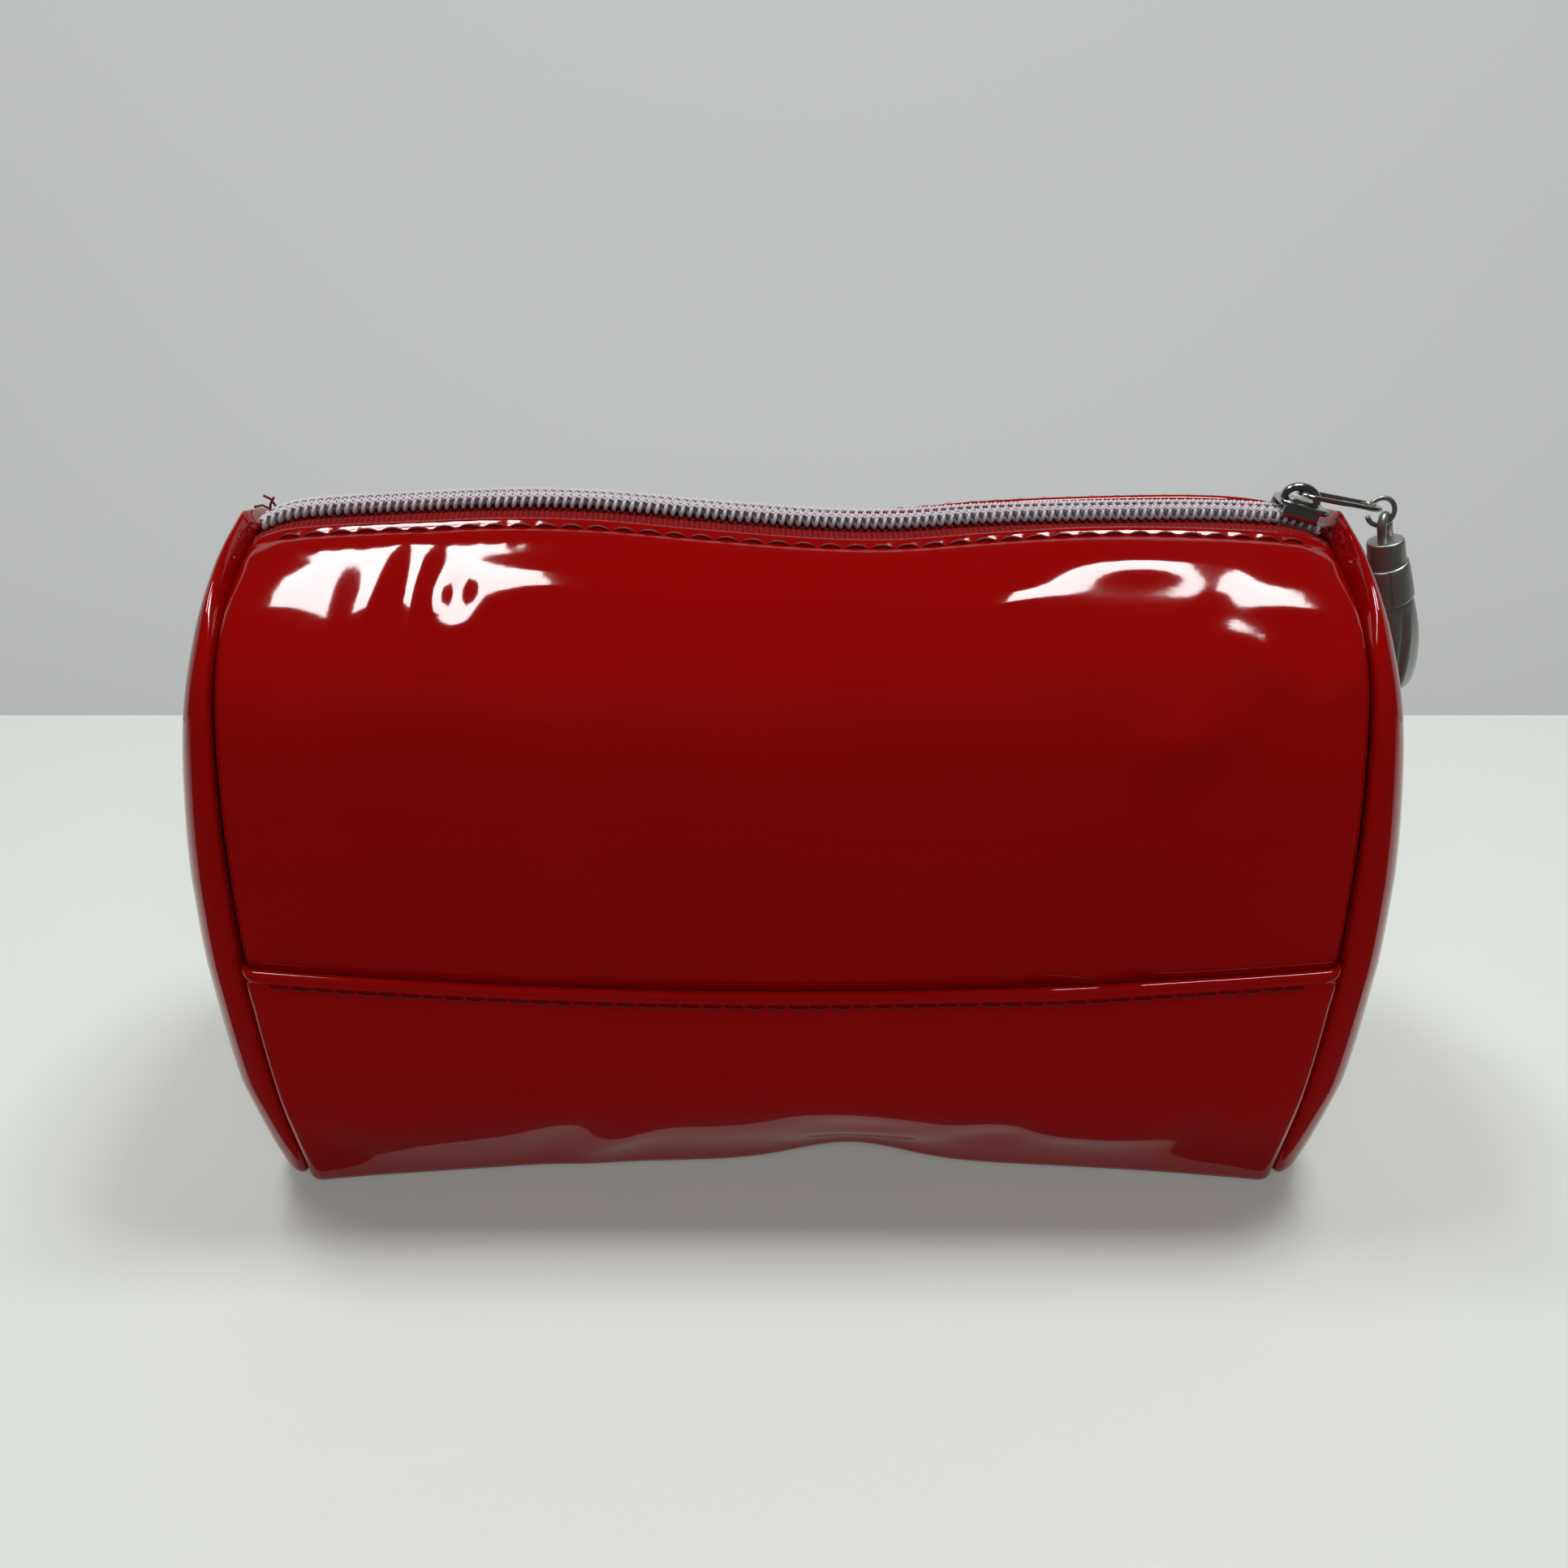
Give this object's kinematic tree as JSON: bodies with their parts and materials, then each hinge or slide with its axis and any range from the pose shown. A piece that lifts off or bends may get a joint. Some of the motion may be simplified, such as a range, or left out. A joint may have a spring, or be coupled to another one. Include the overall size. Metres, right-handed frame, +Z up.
{
  "type": "zip-top cosmetic pouch",
  "caption": "Small patent vinyl pouch with bulging ends, a front slip pocket, a coil zip along the top and a metal charm on its pull.",
  "frame": {"origin": "middle of the base panel's flat underside", "axes": "+X to the right along the zip, towards the closed end; -Y the front, with the slip pocket; +Z up"},
  "size_m": [0.2325, 0.088, 0.1375],
  "materials": {
    "vinyl": "red patent PVC, mirror gloss with soft dents",
    "lining": "dark plain-weave lining",
    "zip_tape": "red woven zip tape",
    "zip_coil": "lavender-silver nylon coil",
    "nickel": "polished nickel",
    "dark_nickel": "satin dark nickel"
  },
  "bodies": {
    "bag": {"base_panel": "vinyl", "front_panel": "vinyl", "front_pocket": "vinyl", "back_panel": "vinyl", "right_end_panel": "vinyl", "left_end_panel": "vinyl", "lining_base": "lining", "lining_front": "lining", "lining_back": "lining", "lining_right_end": "lining", "lining_left_end": "lining", "right_tape_end": "zip_tape", "right_coil_end": "zip_coil", "left_tape_end": "zip_tape", "left_coil_end": "zip_coil"},
    "front_lip": {"front_panel_top": "vinyl", "lining_front_top": "lining", "front_zip_tape": "zip_tape", "front_zip_coil": "zip_coil"},
    "back_lip": {"back_panel_top": "vinyl", "lining_back_top": "lining", "back_zip_tape": "zip_tape", "back_zip_coil": "zip_coil"},
    "slider": {"slider_body": "nickel"},
    "pull": {"pull_link": "nickel"},
    "ring": {"jump_ring": "nickel"},
    "charm": {"charm_loop": "dark_nickel", "charm_body": "dark_nickel"}
  },
  "joints": [
    {"name": "front_mouth", "type": "hinge", "parent": "bag", "child": "front_lip", "pos_m": [0, -0.03971, 0.1], "axis": [1, 0, 0], "range_deg": [0, 28]},
    {"name": "back_mouth", "type": "hinge", "parent": "bag", "child": "back_lip", "pos_m": [0, 0.03971, 0.1], "axis": [-1, 0, 0], "range_deg": [0, 28]},
    {"name": "zip_slide", "type": "slide", "parent": "bag", "child": "slider", "axis": [-1, 0, 0], "range_m": [0, 0.168], "deforming": ["right_end_panel", "lining_right_end"]},
    {"name": "link_turn", "type": "hinge", "parent": "slider", "child": "pull", "pos_m": [0.09145, 0, 0.13465], "axis": [0.1045, -0.9945, 0], "range_deg": [0, 189]},
    {"name": "ring_swing", "type": "hinge", "parent": "pull", "child": "ring", "pos_m": [0.10633, 0.00156, 0.13147], "axis": [0.9945, 0.1045, 0], "range_deg": [-15, 15]},
    {"name": "charm_swing", "type": "hinge", "parent": "ring", "child": "charm", "pos_m": [0.10782, 0.00172, 0.12987], "axis": [0.1045, -0.9945, 0], "range_deg": [0, 78]}
  ],
  "couplings": [
    {"joint": "link_turn", "follows": "zip_slide", "rad_per_m": 19.635},
    {"joint": "charm_swing", "follows": "zip_slide", "rad_per_m": 8.1032}
  ]
}
